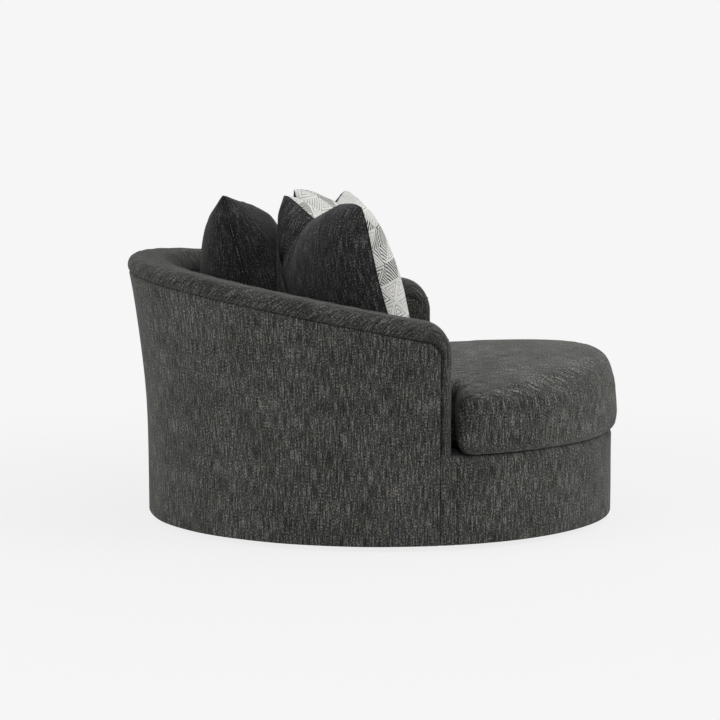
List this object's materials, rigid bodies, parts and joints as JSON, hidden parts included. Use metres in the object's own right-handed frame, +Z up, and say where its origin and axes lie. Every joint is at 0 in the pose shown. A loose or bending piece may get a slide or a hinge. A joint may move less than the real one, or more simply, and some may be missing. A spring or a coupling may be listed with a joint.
{
  "type": "swivel accent chair",
  "caption": "Round upholstered lounge chair with a flared barrel back, deep loose seat cushion and throw pillows, turning on a ball-bearing base hidden under its skirtless hem.",
  "frame": {"origin": "on the floor, on the swivel axis", "axes": "+Z up along the swivel axis, the chair's front faces -Y, the sitter's left is +X"},
  "size_m": [1.5091, 1.512, 0.9857],
  "materials": {
    "charcoal_chenille": "soft chenille with pale vertical slubs",
    "pillow_chenille": "soft dark chenille",
    "pillow_print": "pale woven cloth with black hatched triangles",
    "deck_cloth": "plain woven deck cloth",
    "dust_cloth": "thin black non-woven cloth",
    "plywood": "raw plywood",
    "black_steel": "black powder coat",
    "zinc_steel": "zinc plated, dull",
    "spring_steel": "oiled spring wire",
    "bearing_steel": "polished",
    "nylon": "moulded nylon"
  },
  "bodies": {
    "floor_base": {"floor_ring": "black_steel", "base_spokes": "black_steel", "floor_glides": "nylon", "lower_plate": "zinc_steel", "lower_plate_bolts": "zinc_steel", "pivot_bolt": "zinc_steel", "pivot_washer": "zinc_steel", "pivot_nut": "zinc_steel"},
    "ball_train": {"ball_cage": "zinc_steel", "bearing_balls": "bearing_steel"},
    "chair": {"upper_plate": "zinc_steel", "upper_plate_screws": "zinc_steel", "pivot_bushing": "nylon", "swivel_rails": "plywood", "bottom_ring": "plywood", "base_ribs": "plywood", "seat_ring": "plywood", "front_rail": "plywood", "back_ribs": "plywood", "arm_posts": "plywood", "top_rail": "plywood", "seat_springs": "spring_steel", "spring_clips": "spring_steel", "deck_pad": "deck_cloth", "dust_cover": "dust_cloth", "outer_cover": "charcoal_chenille", "front_band": "charcoal_chenille", "inside_back": "charcoal_chenille", "top_roll": "charcoal_chenille", "arm_front_left": "charcoal_chenille", "arm_front_right": "charcoal_chenille"},
    "seat_cushion": {"seat_cushion": "charcoal_chenille"},
    "back_pillow": {"back_pillow": "pillow_chenille"},
    "right_pillow": {"right_pillow": "pillow_print"},
    "left_pillow": {"left_pillow": "pillow_print"}
  },
  "joints": [
    {"name": "seat_swivel", "type": "hinge", "parent": "floor_base", "child": "chair", "pos_m": [0, 0, 0.0403], "axis": [0, 0, 1], "continuous": true},
    {"name": "ball_roll", "type": "hinge", "parent": "floor_base", "child": "ball_train", "pos_m": [0, 0, 0.0403], "axis": [0, 0, 1], "continuous": true},
    {"name": "cushion_lift", "type": "slide", "parent": "chair", "child": "seat_cushion", "axis": [0, 0, 1], "range_m": [0, 0.6]},
    {"name": "back_pillow_lift", "type": "slide", "parent": "seat_cushion", "child": "back_pillow", "axis": [0, 0, 1], "range_m": [0, 0.4]},
    {"name": "right_pillow_lift", "type": "slide", "parent": "seat_cushion", "child": "right_pillow", "axis": [0, 0, 1], "range_m": [0, 0.4]},
    {"name": "left_pillow_lift", "type": "slide", "parent": "seat_cushion", "child": "left_pillow", "axis": [0, 0, 1], "range_m": [0, 0.4]}
  ],
  "couplings": [
    {"joint": "ball_roll", "follows": "seat_swivel", "ratio": 0.5}
  ]
}
